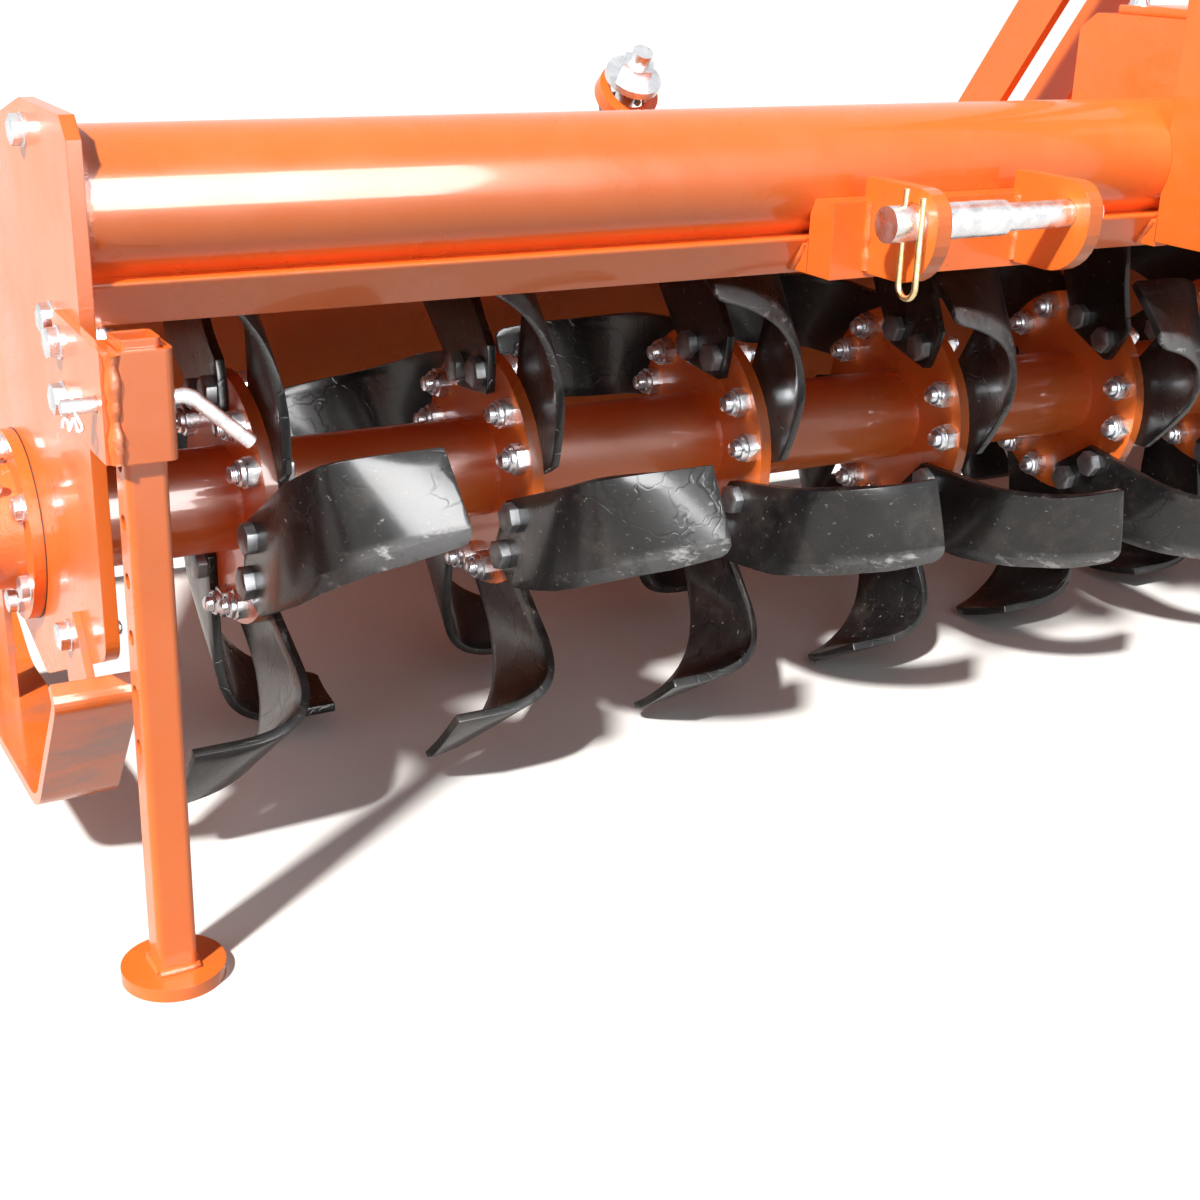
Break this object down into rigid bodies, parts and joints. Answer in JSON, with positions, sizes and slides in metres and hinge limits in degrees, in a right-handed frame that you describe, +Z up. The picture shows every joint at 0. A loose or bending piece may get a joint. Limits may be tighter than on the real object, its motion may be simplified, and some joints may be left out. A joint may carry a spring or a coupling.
{
  "type": "rotavator",
  "caption": "Three-point, shaft-driven rotavator with a bladed rotor under a hood, A-frame mast, hitch brackets, skids, parking stands and a hinged rear board.",
  "frame": {"origin": "on the floor, under the middle of the whole machine's box", "axes": "+X along the rotor towards the side drive case, -Y towards the tractor, +Z up"},
  "size_m": [2.367, 0.9114, 1.1558],
  "materials": {
    "paint_orange": "glossy orange paint over welded steel",
    "paint_cast": "orange paint over rough castings",
    "paint_black": "semi-gloss black dip paint on forged blades",
    "zinc_steel": "bright zinc-plated steel",
    "yellow_zinc": "yellow-passivated spring steel",
    "guard_plastic": "black moulded guard"
  },
  "bodies": {
    "frame": {"hood": "paint_orange", "end_plate_right": "paint_orange", "end_plate_left": "paint_orange", "front_beam": "paint_orange", "main_tube_right": "paint_orange", "main_tube_left": "paint_orange", "gearbox": "paint_cast", "gearbox_cover": "paint_cast", "pto_guard": "guard_plastic", "mast_right": "paint_orange", "mast_left": "paint_orange", "mast_stay_right": "paint_orange", "mast_stay_left": "paint_orange", "hitch_bracket_right": "paint_orange", "hitch_bracket_left": "paint_orange", "hitch_pin_right": "zinc_steel", "hitch_pin_left": "zinc_steel", "hitch_clip_right": "yellow_zinc", "hitch_clip_left": "yellow_zinc", "bearing_housing": "paint_cast", "bearing_cap": "paint_cast", "side_case": "paint_cast", "side_case_cover": "paint_cast", "skid_right": "paint_orange", "skid_left": "paint_orange", "stand_bracket_right": "paint_orange", "stand_bracket_left": "paint_orange", "stand_pin_right": "zinc_steel", "stand_pin_left": "zinc_steel", "rod_bracket_right": "paint_orange", "rod_bracket_left": "paint_orange", "board_hinge": "paint_orange"},
    "rotor": {"rotor": "paint_orange", "blades_right": "paint_black", "blades_left": "paint_black"},
    "drive_shaft": {"pto_shaft": "zinc_steel"},
    "board": {"rear_board": "paint_orange"},
    "rod_right": {"pressure_rod_right": "zinc_steel"},
    "rod_left": {"pressure_rod_left": "zinc_steel"},
    "leg_right": {"stand_leg_right": "paint_orange"},
    "leg_left": {"stand_leg_left": "paint_orange"}
  },
  "joints": [
    {"name": "rotor_spin", "type": "hinge", "parent": "frame", "child": "rotor", "pos_m": [-0.014, -0.05073, 0.25239], "axis": [1, 0, 0], "continuous": true},
    {"name": "shaft_spin", "type": "hinge", "parent": "frame", "child": "drive_shaft", "pos_m": [-0.014, -0.31273, 0.54788], "axis": [0, 1, 0], "continuous": true},
    {"name": "board_swing", "type": "hinge", "parent": "frame", "child": "board", "pos_m": [-0.014, 0.23628, 0.35805], "axis": [1, 0, 0], "range_deg": [0, 50]},
    {"name": "rod_right_pivot", "type": "hinge", "parent": "board", "child": "rod_right", "pos_m": [-0.47915, 0.43242, 0.12754], "axis": [1, 0, 0], "range_deg": [-20.97, 0]},
    {"name": "rod_left_pivot", "type": "hinge", "parent": "board", "child": "rod_left", "pos_m": [0.45115, 0.43242, 0.12754], "axis": [1, 0, 0], "range_deg": [-20.97, 0]},
    {"name": "leg_right_slide", "type": "slide", "parent": "frame", "child": "leg_right", "axis": [0, 0, 1], "range_m": [0, 0.24]},
    {"name": "leg_left_slide", "type": "slide", "parent": "frame", "child": "leg_left", "axis": [0, 0, 1], "range_m": [0, 0.24]}
  ],
  "couplings": [
    {"joint": "shaft_spin", "follows": "rotor_spin", "ratio": -2.5},
    {"joint": "rod_right_pivot", "follows": "board_swing", "ratio": -0.41921},
    {"joint": "rod_left_pivot", "follows": "board_swing", "ratio": -0.41921}
  ]
}
